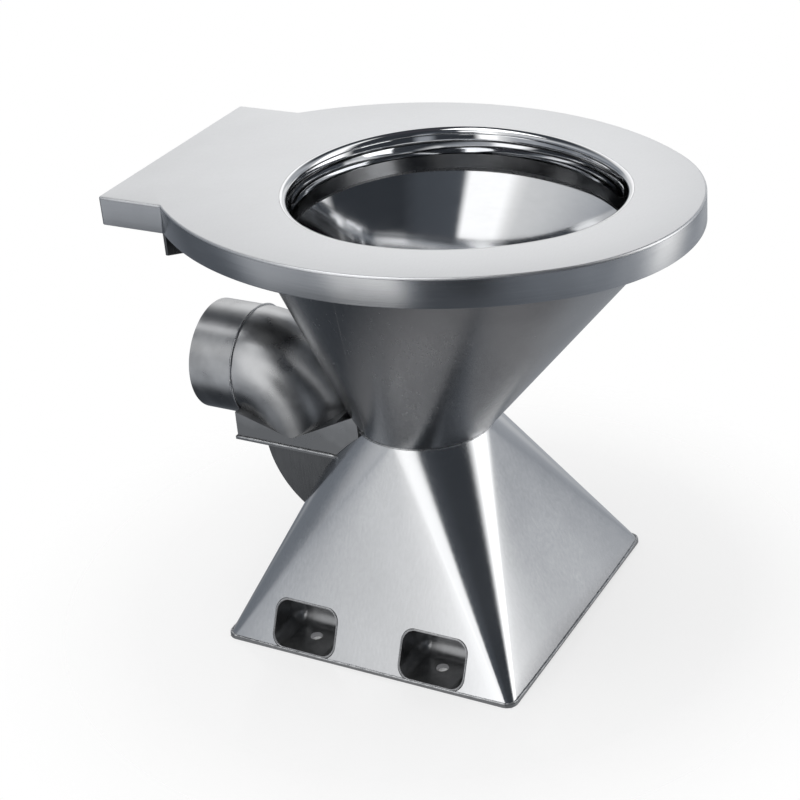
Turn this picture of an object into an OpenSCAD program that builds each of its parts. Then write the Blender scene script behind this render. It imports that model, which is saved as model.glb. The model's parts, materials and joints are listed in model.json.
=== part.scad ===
// Floor-standing stainless steel toilet pan, in millimetres.
// The origin is on the floor at the centre of the foot. The front of the pan faces -Y, the
// outlet leaves towards +Y, and the left side, as seen from the front, is -X.

/* [Seat deck] */
// Height of the deck's top face above the floor
deck_h = 400; // [380:5:450]
// Width of the oval head
head_w = 360; // [344:2:390]
// Length of the whole oval that the head follows
head_l = 467; // [450:1:490]
// Radius of the head's front curve
head_nose_r = 150; // [140:1:160]
// Distance from the foot's centre forward to the middle of the head's oval
head_shift = 16.5; // [10:0.5:22]
// Width of the square block behind the head
block_w = 222; // [204:2:240]
// Distance from the foot's centre back to the block's rear edge
block_reach = 230; // [222:1:260]
// Corner radius of the block
block_corner_r = 3; // [1:0.5:10]
// Thickness of the deck plate
deck_wall = 2; // [1.5:0.1:3]
// Depth of the edge band with the plate on it
skirt_depth = 25; // [20:1:34]
// Thickness of the edge band
skirt_wall = 2; // [1.5:0.1:3]

/* [Bowl opening and flush rim] */
// Width of the opening at the deck's top face
opening_w = 252; // [236:2:262]
// Length of the opening at the deck's top face
opening_l = 295; // [275:1:305]
// Distance from the foot's centre forward to the middle of the opening
opening_shift = 45; // [40:1:50]
// Radius of the roll that turns the deck down into the opening
lip_r = 5.5; // [4:0.5:9]
// Thickness of the roll and the rim
rim_wall = 2; // [1.2:0.1:2.4]
// Height of the rim's rounded bead
bead_h = 18; // [14:1:24]
// How far the bead stands into the opening
bead_bulge = 3.5; // [2:0.5:6]
// How far the band below the bead steps back from it
band_step = 0.8; // [0.3:0.1:1.5]
// Height of the straight band below the bead
band_h = 13; // [8:1:18]
// Width of the ring that floors the flush channel
rim_floor_w = 17; // [12:1:20]

/* [Bowl] */
// Thickness of the bowl, measured level
bowl_wall = 2; // [1.2:0.1:3]
// Gap between the bowl's top edge and the edge band at the sides
bowl_side_gap = 7.6; // [4:0.2:12]
// Gap between the bowl's top edge and the edge band at the front
bowl_front_gap = 2; // [1:0.2:6]
// Distance from the foot's centre back to the bowl's rear top edge
bowl_back = 143; // [136:1:150]
// Radius of the bowl's front and rear curves at the top
bowl_nose_r = 150; // [142:1:156]
// Outer radius of the bowl at its lower end
throat_r = 46.5; // [42:0.5:48]
// Distance from the foot's centre back to the middle of the bowl's lower end
throat_back = 6; // [2:0.5:8]
// Distance from the foot's centre back to the bowl's side seams, at their lower end
bowl_seam_low = 35; // [24:1:44]
// Distance from the foot's centre back to the bowl's side seams, at their upper end
bowl_seam_high = -21; // [-40:1:0]

/* [Foot] */
// Side of the square foot at the floor
foot_w = 280; // [264:2:310]
// Corner radius of the foot at the floor
foot_corner_r = 9; // [2:0.5:14]
// Height at which the foot closes round the bowl
neck_h = 178; // [170:1:190]
// Thickness of the foot's sheet, measured level
foot_wall = 2; // [1.2:0.1:3]
// Thickness of the floor frame
frame_t = 3; // [2:0.5:5]
// How far the floor frame stands out past the foot
frame_edge = 1; // [0.5:0.25:3]
// Width of the floor frame at the front and the rear
frame_band = 25; // [15:1:32]

/* [Floor fixings] */
// Spacing of the fixing holes across the pan
fixing_x = 230; // [216:2:236]
// Spacing of the fixing holes along the pan
fixing_y = 125; // [112:1:136]
// Diameter of the fixing holes
fixing_d = 11; // [8:0.5:14]
// Width of a fixing pocket's window
pocket_w = 60; // [48:1:66]
// Height of a fixing pocket's window
pocket_h = 38; // [30:1:46]
// Corner radius of a fixing pocket's window
pocket_corner_r = 10; // [6:0.5:14]
// Radius where a pocket's floor, roof and sides turn into its back
pocket_back_r = 12; // [8:0.5:14]
// Distance from a fixing hole in to the pocket's back
pocket_reach = 20; // [14:1:24]
// Thickness of a fixing pocket
pocket_wall = 1.5; // [1:0.1:2]

/* [Outlet] */
// Outside diameter of the outlet and width of the trap
outlet_d = 100; // [96:1:104]
// Height of the outlet's axis above the floor
outlet_h = 205; // [200:1:212]
// Centreline radius of the outlet bend
bend_r = 52; // [51:0.5:56]
// Distance from the foot's centre back to the bend's mouth
bend_back = 165; // [163:1:172]
// Length of the straight outlet pipe
spigot_l = 44; // [30:1:60]
// Thickness of the bend and the outlet pipe
outlet_wall = 2; // [1.2:0.1:3]
// Height of the bend's square foot at its heel
heel_h = 24; // [16:1:30]
// Height of the bend's square foot where it is lowest
sag_h = 7.5; // [4:0.5:14]
// Height of the bend's square foot at its toe, against the bowl
toe_h = 43; // [34:1:48]

/* [Trap] */
// Thickness of the trap's cheeks, wrapper and dip plate
trap_wall = 2; // [1.2:0.1:3]
// Thickness of the plate on top of the trap
trap_plate_t = 3; // [2:0.5:4]
// How far that plate stands out past the cheeks
trap_plate_edge = 1.5; // [0.5:0.25:2.5]
// Distance from the foot's centre forward to the trap's front
trap_front = 43; // [42:0.5:48]
// Height of the trap's lowest point above the floor
sump_h = 32; // [22:1:44]
// Radius of the trap's lower curve
sump_r = 44; // [36:1:48]
// Radius of the trap's rear curve
trap_back_r = 88; // [80:1:94]
// Distance from the foot's centre back to the middle of the rear curve
trap_back_y = 47; // [42:1:52]
// Height of the middle of the rear curve above the trap's top edge
trap_back_rise = 15; // [6:1:22]
// Depth that the dip plate hangs below the plate on top of the trap
dip_depth = 46; // [40:1:56]
// Distance that the dip plate leans forward on its way down
dip_lean = 20; // [10:1:24]

/* [Flush inlet] */
// Outside diameter of the flush inlet
inlet_d = 55; // [50:0.5:57]
// Depth of the flush inlet's axis below the deck's top face
inlet_drop = 54; // [50:1:62]
// Length of the flush inlet behind its plate
inlet_l = 45; // [30:1:50]
// Thickness of the flush inlet
inlet_wall = 1.5; // [1:0.1:2]
// Thickness of the plate that carries the flush inlet
inlet_plate_t = 2.5; // [1.5:0.1:4]
// Depth of that plate's corners below the edge band
inlet_plate_drop = 20.5; // [14:0.5:26]
// Thickness of the flush box
flush_wall = 1.5; // [1:0.1:2]
// Half width of the flush box
flush_box_half_w = 78; // [70:1:88]
// Width of the plate that spreads the flush water
spreader_w = 56; // [40:1:70]
// Height of the plate that spreads the flush water
spreader_h = 26; // [18:1:32]

/* [Hidden] */

// Gap left at a welded seam between two pieces
seam = 0.2;
// Overrun of every cut past the face that it leaves
cut = 1;
// Thickness of the thin slices that a lofted form is stretched over
slice = 0.01;
// Facets of round forms, and of the slices of a lofted form
$fn = 96;
loft_fn = 64;

// Levels
deck_low = deck_h - deck_wall;
skirt_low = deck_h - skirt_depth;
plate_top = outlet_h - bend_r;
trap_top = plate_top - trap_plate_t;

// Bowl: half width, half length and middle of its outside, at the top and at a level z
bowl_top_a = head_w / 2 - skirt_wall - bowl_side_gap;
bowl_top_front = head_shift + head_l / 2 - skirt_wall - bowl_front_gap;
bowl_top_b = (bowl_top_front + bowl_back) / 2;
bowl_top_y = (bowl_back - bowl_top_front) / 2;
function bowl_share(z) = (z - plate_top) / (deck_low - plate_top);
function bowl_a(z) = throat_r + (bowl_top_a - throat_r) * bowl_share(z);
function bowl_b(z) = throat_r + (bowl_top_b - throat_r) * bowl_share(z);
function bowl_y(z) = throat_back + (bowl_top_y - throat_back) * bowl_share(z);

// Opening and flush rim
opening_unit = (opening_l - opening_w) / 4;
opening_nose_r = opening_w / 2 - 2 * opening_unit;
bead_r = (bead_h * bead_h / 4 + bead_bulge * bead_bulge) / (2 * bead_bulge);
bead_top = deck_h - lip_r;
bead_low = bead_top - bead_h;
band_low = bead_low - band_h;

// The notch where the block leaves the head, and the plate that stands across it
head_nose_y = head_l / 2 - head_nose_r - head_shift;
notch_y = head_nose_y + sqrt(head_nose_r * head_nose_r - block_w * block_w / 4);
inlet_z = deck_h - inlet_drop;
plate_half_w = block_w / 2 - skirt_wall - seam;
plate_corner_z = skirt_low - inlet_plate_drop;
plate_margin = 3;
box_side_z = plate_corner_z - plate_margin * 2;
tongue_half_w = inlet_d / 2 + plate_margin;
tongue_z = inlet_z - inlet_d / 2;
window_low = band_low + rim_wall;
window_half_w = flush_box_half_w - plate_margin * 4;

// Outlet bend: the square foot's outline falls from the heel to the sag and climbs to the toe
bend_front = bend_back - bend_r - outlet_d / 2;
sag_y = bend_back - bend_r - flush_wall * 3;
toe_y = throat_back + outlet_d / 3;
function web_z(y) = y > sag_y
    ? sag_h + (heel_h - sag_h) * (y - sag_y) / (bend_back - sag_y)
    : sag_h + (toe_h - sag_h) * (sag_y - y) / (sag_y - toe_y);

// Trap: centres of its two curves and the tangent that joins them
rear_c = [trap_back_y, trap_top + trap_back_rise];
sump_c = [sump_r - trap_front, sump_h + sump_r];
curve_gap = norm(rear_c - sump_c);
tangent_a = atan2(rear_c[1] - sump_c[1], rear_c[0] - sump_c[0])
    - acos((sump_r - trap_back_r) / curve_gap);
tangent = [cos(tangent_a), sin(tangent_a)];
dip_top_y = (throat_back + throat_r + bend_front) / 2;

// Foot and pockets
foot_half = foot_w / 2;
pocket_floor = frame_t + pocket_wall;
pocket_back_x = fixing_x / 2 - pocket_reach;

// Four-centre oval in plan, its long axis along Y
module oval(half_w, half_l, nose_r) {
    d = half_l - nose_r;
    side_r = (half_w * half_w + d * d - nose_r * nose_r) / (2 * (half_w - nose_r));
    tangent_y = side_r * d / (side_r - nose_r);
    intersection() {
        translate([half_w - side_r, 0]) circle(side_r);
        translate([side_r - half_w, 0]) circle(side_r);
        square([2 * half_w, 2 * tangent_y], center = true);
    }
    for (s = [-1, 1]) translate([0, s * d]) circle(nose_r);
}

// Opening's outline, grown outward: an oval laid out on a 3-4-5 triangle
module opening_outline(grow) {
    translate([0, -opening_shift])
        oval(opening_w / 2 + grow, opening_l / 2 + grow, opening_nose_r + grow);
}

// Sweeps a profile round the opening's outline; the profile's x runs outward from it
module opening_sweep() {
    reach = opening_l;
    translate([0, -opening_shift, 0]) for (side = [0, 1]) {
        mirror([side, 0, 0]) intersection() {
            translate([-3 * opening_unit, 0, 0])
                rotate_extrude() translate([opening_nose_r + 5 * opening_unit, 0]) children();
            translate([-3 * opening_unit, 0, 0]) linear_extrude(2 * deck_h)
                polygon([[0, 0], [3 * reach, -4 * reach], [3 * reach, 4 * reach]]);
        }
        mirror([0, side, 0]) intersection() {
            translate([0, 4 * opening_unit, 0])
                rotate_extrude() translate([opening_nose_r, 0]) children();
            translate([0, 4 * opening_unit, 0]) linear_extrude(2 * deck_h)
                polygon([[0, 0], [3 * reach, 4 * reach], [-3 * reach, 4 * reach]]);
        }
    }
}

// Rounded rectangle centred on the origin
module round_rect(w, l, r) {
    square([w - 2 * r, l], center = true);
    square([w, l - 2 * r], center = true);
    for (x = [-1, 1], y = [-1, 1]) translate([x * (w / 2 - r), y * (l / 2 - r)]) circle(r);
}

// Extrudes a profile drawn in (y, z) along X, between two values of x
module along_x(x0, x1) {
    translate([x0, 0, 0]) rotate([90, 0, 90]) linear_extrude(x1 - x0) children();
}

// Extrudes a profile drawn in (x, z) along Y, between two values of y
module along_y(y0, y1) {
    translate([0, y1, 0]) rotate([90, 0, 0]) linear_extrude(y1 - y0) children();
}

// Outline of the deck, drawn in by an inset
module deck_outline(inset) {
    translate([0, -head_shift])
        oval(head_w / 2 - inset, head_l / 2 - inset, head_nose_r - inset);
    translate([0, block_reach / 2])
        round_rect(block_w - 2 * inset, block_reach - 2 * inset, max(block_corner_r - inset, slice));
}

module seat_deck() {
    color("gainsboro") translate([0, 0, deck_low]) linear_extrude(deck_wall) difference() {
        deck_outline(0);
        opening_outline(seam);
    }
}

module deck_skirt() {
    color("silver") translate([0, 0, skirt_low]) linear_extrude(deck_low - skirt_low) difference() {
        deck_outline(0);
        deck_outline(skirt_wall);
    }
}

module rim_lip() {
    color("lightgray") opening_sweep() translate([0, bead_top]) intersection() {
        difference() {
            circle(lip_r);
            circle(lip_r - rim_wall);
        }
        translate([-lip_r, 0]) square(lip_r);
    }
}

module flush_rim() {
    color("lightgray") opening_sweep() {
        intersection() {
            translate([bead_r - bead_bulge - lip_r, bead_low + bead_h / 2]) difference() {
                circle(bead_r);
                circle(bead_r - rim_wall);
            }
            translate([-2 * lip_r - bead_bulge, bead_low]) square([2 * lip_r + bead_bulge, bead_h]);
        }
        translate([band_step - lip_r, band_low]) square([rim_wall, band_h]);
    }
}

module rim_floor() {
    color("silver") translate([0, 0, band_low - rim_wall]) linear_extrude(rim_wall) difference() {
        opening_outline(band_step - lip_r + rim_floor_w);
        opening_outline(band_step - lip_r);
    }
}

// Solid of the bowl's outside, from a level z0 up to a level z1, grown outward
module bowl_form(z0, z1, grow) {
    hull() {
        translate([0, bowl_y(z1), z1 - slice]) linear_extrude(slice)
            oval(bowl_a(z1) + grow, bowl_b(z1) + grow, bowl_nose_r + grow, $fn = loft_fn);
        translate([0, bowl_y(z0), z0])
            scale([bowl_a(z0) + grow, bowl_b(z0) + grow, 1]) cylinder(slice, 1, 1, $fn = loft_fn);
    }
}

// Side view of the bowl on one side of its slanting seams: in front of them, or behind
module seam_side(end) {
    far = end * (bowl_top_b + head_l);
    polygon([
        [bowl_seam_low, plate_top], [bowl_seam_high, deck_low], [far, deck_low], [far, plate_top]
    ]);
}

module bowl_front() {
    color("darkgray") intersection() {
        difference() {
            bowl_form(plate_top, deck_low, 0);
            bowl_form(plate_top - cut, deck_low + cut, -bowl_wall);
        }
        along_x(-head_w, head_w) seam_side(-1);
    }
}

module bowl_rear() {
    color("darkgray") difference() {
        intersection() {
            bowl_form(plate_top, deck_low, 0);
            along_x(-head_w, head_w) seam_side(1);
        }
        bowl_form(plate_top - cut, deck_low + cut, -bowl_wall);
        translate([-window_half_w, 0, window_low])
            cube([2 * window_half_w, notch_y, deck_low - deck_wall - window_low]);
    }
}

// Profile of the flush box, drawn in (x, z) with its sides and floor drawn in by an inset
module box_profile(inset) {
    low_half_w = tongue_half_w - inset / 2;
    polygon([
        [flush_box_half_w - inset, deck_low], [flush_box_half_w - inset, box_side_z + inset / 2],
        [low_half_w, tongue_z + inset], [-low_half_w, tongue_z + inset],
        [inset - flush_box_half_w, box_side_z + inset / 2], [inset - flush_box_half_w, deck_low]
    ]);
}

module flush_back_plate() {
    color("silver") difference() {
        along_y(notch_y, notch_y + inlet_plate_t) polygon([
            [plate_half_w, deck_low], [plate_half_w, plate_corner_z],
            [flush_box_half_w + plate_margin, box_side_z - plate_margin],
            [tongue_half_w + plate_margin, tongue_z - plate_margin],
            [-tongue_half_w - plate_margin, tongue_z - plate_margin],
            [-flush_box_half_w - plate_margin, box_side_z - plate_margin],
            [-plate_half_w, plate_corner_z], [-plate_half_w, deck_low]
        ]);
        translate([0, notch_y + inlet_plate_t + cut, inlet_z]) rotate([90, 0, 0])
            cylinder(inlet_plate_t + 2 * cut, d = inlet_d - 2 * inlet_wall);
    }
}

module flush_box() {
    color("silver") difference() {
        along_y(0, notch_y) box_profile(0);
        along_y(-cut, notch_y + cut) box_profile(flush_wall);
        translate([-flush_box_half_w, -cut, deck_low - slice])
            cube([2 * flush_box_half_w, notch_y + 2 * cut, cut]);
        bowl_form(plate_top, deck_low + cut, seam);
    }
}

module flush_inlet() {
    color("lightgray") translate([0, notch_y + inlet_plate_t + inlet_l, inlet_z]) rotate([90, 0, 0])
        difference() {
            cylinder(inlet_l, d = inlet_d);
            translate([0, 0, -cut]) cylinder(inlet_l + 2 * cut, d = inlet_d - 2 * inlet_wall);
        }
}

module flush_spreader() {
    color("silver")
        translate([-spreader_w / 2, (bowl_back + notch_y) / 2 - flush_wall, deck_low - spreader_h])
            cube([spreader_w, flush_wall, spreader_h]);
}

// Side view of the trap, drawn in (y, z), with its curves drawn in by an inset and its top
// edge carried up by an overrun
module trap_outline(inset, over = 0) {
    rear_r = trap_back_r - inset;
    low_r = sump_r - inset;
    top = trap_top + over;
    intersection() {
        union() {
            translate(rear_c) circle(rear_r);
            translate(sump_c) circle(low_r);
            polygon([
                [inset - trap_front, top], [inset - trap_front, sump_c[1]], sump_c,
                sump_c + low_r * tangent, rear_c + rear_r * tangent, rear_c, [rear_c[0], top]
            ]);
        }
        translate([inset - trap_front, sump_h + inset])
            square([trap_front + trap_back_y + trap_back_r, top - sump_h - inset]);
    }
}

module trap_cheek(side) {
    color("dimgray") along_x(side > 0 ? outlet_d / 2 - trap_wall : -outlet_d / 2,
                             side > 0 ? outlet_d / 2 : trap_wall - outlet_d / 2)
        trap_outline(0);
}

module trap_cheek_left() {
    trap_cheek(-1);
}

module trap_cheek_right() {
    trap_cheek(1);
}

module trap_wrapper() {
    color("dimgray") along_x(trap_wall - outlet_d / 2, outlet_d / 2 - trap_wall) difference() {
        trap_outline(0);
        trap_outline(trap_wall, cut);
    }
}

module trap_baffle() {
    color("gray") along_x(trap_wall - outlet_d / 2, outlet_d / 2 - trap_wall) polygon([
        [dip_top_y - trap_wall, trap_top], [dip_top_y, trap_top],
        [dip_top_y - dip_lean, trap_top - dip_depth],
        [dip_top_y - dip_lean - trap_wall, trap_top - dip_depth]
    ]);
}

// Solid of the plate on top of the trap, grown outward
module trap_plate_form(grow) {
    edge = trap_plate_edge + grow;
    translate([-outlet_d / 2 - edge, -trap_front - edge, trap_top - grow])
        cube([outlet_d + 2 * edge, trap_front + bend_back + 2 * edge, trap_plate_t + 2 * grow]);
}

module trap_top_plate() {
    leg_back = rear_c[0] + sqrt(pow(trap_back_r - trap_wall, 2) - pow(trap_back_rise, 2));
    color("gray") difference() {
        trap_plate_form(0);
        translate([0, throat_back, trap_top - cut])
            cylinder(trap_plate_t + 2 * cut, r = throat_r - bowl_wall);
        translate([trap_wall - outlet_d / 2, bend_front + outlet_wall, trap_top - cut])
            cube([outlet_d - 2 * trap_wall, leg_back - bend_front - outlet_wall, trap_plate_t + 2 * cut]);
    }
}

// Quarter bend from its lower end, facing -Z, round to its mouth, facing +Y
module bend_form(pipe_r) {
    translate([0, bend_back, plate_top]) rotate([90, 0, -90])
        rotate_extrude(angle = 90) translate([bend_r, 0]) circle(pipe_r);
}

// Side view of the bend's square foot, drawn in (y, z), from a front edge y0
module web_outline(y0, inset, low) {
    polygon([
        [y0 + inset, plate_top - low], [bend_back - inset, plate_top - low],
        [bend_back - inset, plate_top + web_z(bend_back) - 2 * inset],
        [sag_y, plate_top + sag_h - inset],
        [y0 + inset, plate_top + web_z(y0) - 2 * inset]
    ]);
}

module elbow_form(grow) {
    bend_form(outlet_d / 2 + grow);
    along_x(-outlet_d / 2 - grow, outlet_d / 2 + grow) web_outline(bend_front, -grow, 0);
}

module outlet_elbow() {
    color("darkgray") difference() {
        union() {
            bend_form(outlet_d / 2);
            difference() {
                union() {
                    along_x(-outlet_d / 2, outlet_d / 2) web_outline(bend_front, 0, 0);
                    difference() {
                        for (x = [-outlet_d / 2, outlet_d / 2 - outlet_wall])
                            along_x(x, x + outlet_wall) web_outline(toe_y, 0, 0);
                        foot_form(0, seam);
                    }
                }
                bowl_form(plate_top - cut, deck_low, seam);
            }
        }
        bend_form(outlet_d / 2 - outlet_wall);
        along_x(outlet_wall - outlet_d / 2, outlet_d / 2 - outlet_wall)
            web_outline(bend_front, outlet_wall, cut);
    }
}

module outlet_spigot() {
    color("darkgray") translate([0, bend_back + spigot_l, outlet_h]) rotate([90, 0, 0]) difference() {
        cylinder(spigot_l, d = outlet_d);
        translate([0, 0, -cut]) cylinder(spigot_l + 2 * cut, d = outlet_d - 2 * outlet_wall);
    }
}

// Solid of the foot, a square with rounded corners that runs up to the round neck; both ends
// can be carried past their levels, along the same slopes
module foot_form(inset, grow, past = 0) {
    past_share = past / (neck_h - frame_t);
    side = foot_half - inset + grow;
    neck_a = bowl_a(neck_h) + seam + foot_wall / 2 - inset + grow;
    neck_b = bowl_b(neck_h) + seam + foot_wall / 2 - inset + grow;
    past_a = past_share * (side - neck_a);
    past_b = past_share * (side - neck_b);
    hull() {
        translate([0, 0, frame_t - past]) linear_extrude(slice)
            round_rect(2 * (side + past_a), 2 * (side + past_b),
                       max(foot_corner_r - inset, 2 * slice) + grow, $fn = loft_fn);
        translate([0, bowl_y(neck_h), neck_h + past - slice])
            scale([neck_a - past_a, neck_b - past_b, 1]) cylinder(slice, 1, 1, $fn = loft_fn);
    }
}

// Space of one fixing pocket on the left side, centred on its fixing hole, grown outward
module pocket_form(grow) {
    length = foot_half - pocket_back_x + pocket_back_r;
    middle = -pocket_back_x - length / 2 + grow;
    level = pocket_floor + pocket_h / 2;
    intersection() {
        along_x(-foot_half - pocket_back_r, grow - pocket_back_x)
            translate([0, level])
                round_rect(pocket_w + 2 * grow, pocket_h + 2 * grow, pocket_corner_r + grow);
        along_y(-pocket_w, pocket_w) translate([middle, level])
            round_rect(length, pocket_h + 2 * grow, pocket_back_r + grow);
        translate([middle, 0, 0]) linear_extrude(2 * pocket_h)
            round_rect(length, pocket_w + 2 * grow, pocket_back_r + grow);
    }
}

module at_pockets() {
    for (x = [0, 1], y = [-1, 1]) mirror([x, 0, 0]) translate([0, y * fixing_y / 2, 0]) children();
}

module fixing_pocket(side, end) {
    color("dimgray") mirror([side > 0 ? 1 : 0, 0, 0]) intersection() {
        translate([0, end * fixing_y / 2, 0]) difference() {
            pocket_form(pocket_wall);
            pocket_form(0);
            translate([-fixing_x / 2, 0, -cut]) cylinder(pocket_h, d = fixing_d);
        }
        foot_form(0, 0);
    }
}

module pocket_front_left() {
    fixing_pocket(-1, -1);
}

module pocket_rear_left() {
    fixing_pocket(-1, 1);
}

module pocket_front_right() {
    fixing_pocket(1, -1);
}

module pocket_rear_right() {
    fixing_pocket(1, 1);
}

// Half of the foot, on the left with a side of -1 or on the right with 1
module foot_half_shell(side) {
    color("silver") difference() {
        intersection() {
            foot_form(0, 0);
            translate([min(0, side * foot_w), -foot_w, 0]) cube([foot_w, 2 * foot_w, neck_h]);
        }
        foot_form(foot_wall, 0, cut);
        bowl_form(plate_top, deck_low, seam);
        at_pockets() pocket_form(pocket_wall + seam);
        along_x(-outlet_d / 2 - seam, outlet_d / 2 + seam) trap_outline(-seam);
        trap_plate_form(seam);
        elbow_form(seam);
    }
}

module foot_left() {
    foot_half_shell(-1);
}

module foot_right() {
    foot_half_shell(1);
}

module base_frame() {
    side = foot_w + 2 * frame_edge;
    color("gray") difference() {
        linear_extrude(frame_t) difference() {
            round_rect(side, side, foot_corner_r + frame_edge);
            square([2 * pocket_back_x, foot_w - 2 * frame_band], center = true);
        }
        for (x = [-1, 1], y = [-1, 1]) translate([x * fixing_x / 2, y * fixing_y / 2, -cut])
            cylinder(frame_t + 2 * cut, d = fixing_d);
    }
}

seat_deck();
deck_skirt();
rim_lip();
flush_rim();
rim_floor();
bowl_front();
bowl_rear();
flush_back_plate();
flush_box();
flush_inlet();
flush_spreader();
trap_top_plate();
trap_cheek_left();
trap_cheek_right();
trap_wrapper();
trap_baffle();
outlet_elbow();
outlet_spigot();
foot_left();
foot_right();
base_frame();
pocket_front_left();
pocket_rear_left();
pocket_front_right();
pocket_rear_right();
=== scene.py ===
import json
import math
import random

import bmesh
import bpy
from mathutils import Matrix, Vector


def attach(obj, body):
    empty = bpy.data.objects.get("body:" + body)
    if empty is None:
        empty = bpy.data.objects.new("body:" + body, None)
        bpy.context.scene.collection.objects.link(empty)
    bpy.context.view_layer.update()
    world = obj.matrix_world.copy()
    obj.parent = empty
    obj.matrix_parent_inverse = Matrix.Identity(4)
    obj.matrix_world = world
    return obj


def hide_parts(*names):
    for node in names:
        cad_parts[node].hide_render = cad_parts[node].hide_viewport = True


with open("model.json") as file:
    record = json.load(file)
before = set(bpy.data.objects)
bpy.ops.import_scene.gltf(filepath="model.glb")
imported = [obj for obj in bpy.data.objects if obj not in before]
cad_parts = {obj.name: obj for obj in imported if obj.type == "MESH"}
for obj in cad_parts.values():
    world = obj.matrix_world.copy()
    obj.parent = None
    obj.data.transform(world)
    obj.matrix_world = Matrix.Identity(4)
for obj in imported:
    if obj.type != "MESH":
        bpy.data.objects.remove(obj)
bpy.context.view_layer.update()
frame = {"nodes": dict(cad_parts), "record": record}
scene = bpy.context.scene
MM = 0.001
MERGE = 1e-6                              # points nearer than this, in metres, are one

# Sizes in mm. They are the part's, but for the opening, the bead's bulge, the pockets' corners and the foot's
# flats, which follow the photograph more closely here. The part has no welds, and sharp edges on the deck
SEAM = 0.2                                # gap left at a welded seam
APART = 0.02                              # keeps two touching faces from lying in one plane
DECK_H, DECK_WALL, SKIRT_LOW, SKIRT_WALL = 400, 2, 375, 2
DECK_LOW = DECK_H - DECK_WALL
DECK_EDGE_R, DECK_BREAK = 1.7, 0.3        # rounding of the plate's top edge, and its broken lower edge
DECK_FILLET = 2.0                         # how far the notch's side starts behind the head's arc
SKIRT_LIP, SKIRT_BREAK = 0.6, 0.4         # rounding of the skirt's outer and inner lower edge
HEAD = (180, 233.5, 150, -16.5)           # half width, half length, nose radius, middle y
BLOCK_HALF, BLOCK_BACK, BLOCK_R = 111, 230, 3
OPEN_Y = -30                              # where the opening is widest
OPEN_FRONT = (128, 162.5, 103)            # half width, length forward of there, nose radius
OPEN_REAR = (128, 130, 118)
LIP_R, RIM_WALL, BEAD_H, BEAD_BULGE = 5.5, 2, 18, 1.6
BEAD_TOP = DECK_H - LIP_R
BEAD_LOW = BEAD_TOP - BEAD_H
BAND_H, BAND_STEP, FLOOR_W = 13, 0.8, 17  # height and set-back of the band below the bead; the channel floor
BAND_LOW = BEAD_LOW - BAND_H
BOWL_TOP = (170.4, 194.5, 150, -51.5)
BOWL_LOW = (46.5, 46.5, 46.5, 6)
BOWL_Z = (153, 398)
BOWL_WALL = 2
WINDOW_HALF, WINDOW_Z = 66, (365, 396)    # the flush box's opening in the back of the bowl
FOOT_HALF, FOOT_R, FOOT_WALL = 139.6, 9, 2
FOOT_TURN = 2.1                           # how far the bulged flats turn towards the corners, degrees
FOOT_Z = (3, 178)
POCKET_Y, POCKET_Z = 62.5, 23.5           # middle of a pocket's mouth
POCKET_W, POCKET_H, POCKET_R = 60, 38, 11
POCKET_BACK, POCKET_WALL, POCKET_TURN_R = 95, 1.5, 12
POCKET_LEAST_R = 1.5                      # of the corners where the walls turn into the back
POCKET_FRONT, POCKET_PAST = 150, 5        # where the untrimmed cup ends, and how far its inside passes that
POCKET_CUT_X, POCKET_CUT_R = 93, 11.7     # start and corners of the foot's hole for a pocket
BOLT_X, BOLT_R, BOLT_Z = 115, 5.5, (2, 12)
TRAP_HALF, TRAP_FRONT = 50.2, ((40, 76), (27.3, 40.5))
TRAP_BACK = (47, 165, 88.2, -53.38, -9.8)  # y, z, radius and end angles of the trap's round back
PLATE_HALF, PLATE_Y, PLATE_Z = 51.7, (40, 167), (149.8, 153.2)
BEND_FOOT = ((62.8, 152.9), (165, 152.9), (165, 177), (108.5, 160.7), (62.8, 184.2))
OUTLET_Z, MOUTH_R, MOUTH_Y = 205, 50.2, 165.2
NECK_WELD_Z, NECK_WELD_BACK = 178.4, 57
FOOT_WELD_Z, FOOT_WELD_OUT = 3.5, 0.5
SEAM_Z, SEAM_Y = (178.9, 373.5), (35, -21)  # heights of the bowl's seams, and their y at the cone's two ends
PLATE_WELD = (51, 166, 64, 152.4)         # x, both ends in y, and height
PLATE_WELD_REAR = (49.5, 165.4, 153.3)    # half length, y and height
POCKET_WELD_OUT, POCKET_WELD_IN = 0.8, 0.1
POCKET_WELD_SIDE = (140.8, 1.2, 131, 60.34)  # the foot's side: half width, crown and reach, half width above

# Camera, fitted to the photograph
YAW_PITCH_ROLL = (30.54, 28.33, -5.13)    # degrees
CAMERA_PLACE = (-1.30397, -0.7456, 1.00578)
FOCAL_PIXELS, PHOTO_PIXELS, SENSOR = 1970.54, 800, 36

# Numbers of points
OPEN_STEPS, BOWL_STEPS, BOWL_ROWS, CUT_STEPS = 256, 288, 49, 192
BEAD_ROWS, HEAD_STEPS = 24, 220
FOOT_ROWS, FOOT_EDGE, FOOT_CORNER = 28, 22, 26


# Mesh helpers
def new_object(name, verts, faces):
    """Makes an object from points in mm."""
    me = bpy.data.meshes.new(name)
    me.from_pydata([tuple(c * MM for c in v) for v in verts], [], faces)
    me.update()
    ob = bpy.data.objects.new(name, me)
    scene.collection.objects.link(ob)
    return ob


def finish_mesh(ob, angle):
    """Merges doubles, makes normals point out and marks edges sharper than an angle."""
    bm = bmesh.new()
    bm.from_mesh(ob.data)
    bmesh.ops.remove_doubles(bm, verts=bm.verts, dist=MERGE)
    bmesh.ops.dissolve_degenerate(bm, edges=bm.edges, dist=MERGE / 10)
    bmesh.ops.recalc_face_normals(bm, faces=bm.faces)
    limit = math.radians(angle)
    for f in bm.faces:
        f.smooth = True
    for e in bm.edges:
        e.smooth = len(e.link_faces) == 2 and e.calc_face_angle(0) < limit
    bm.to_mesh(ob.data)
    bm.free()
    ob.data.update()


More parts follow.
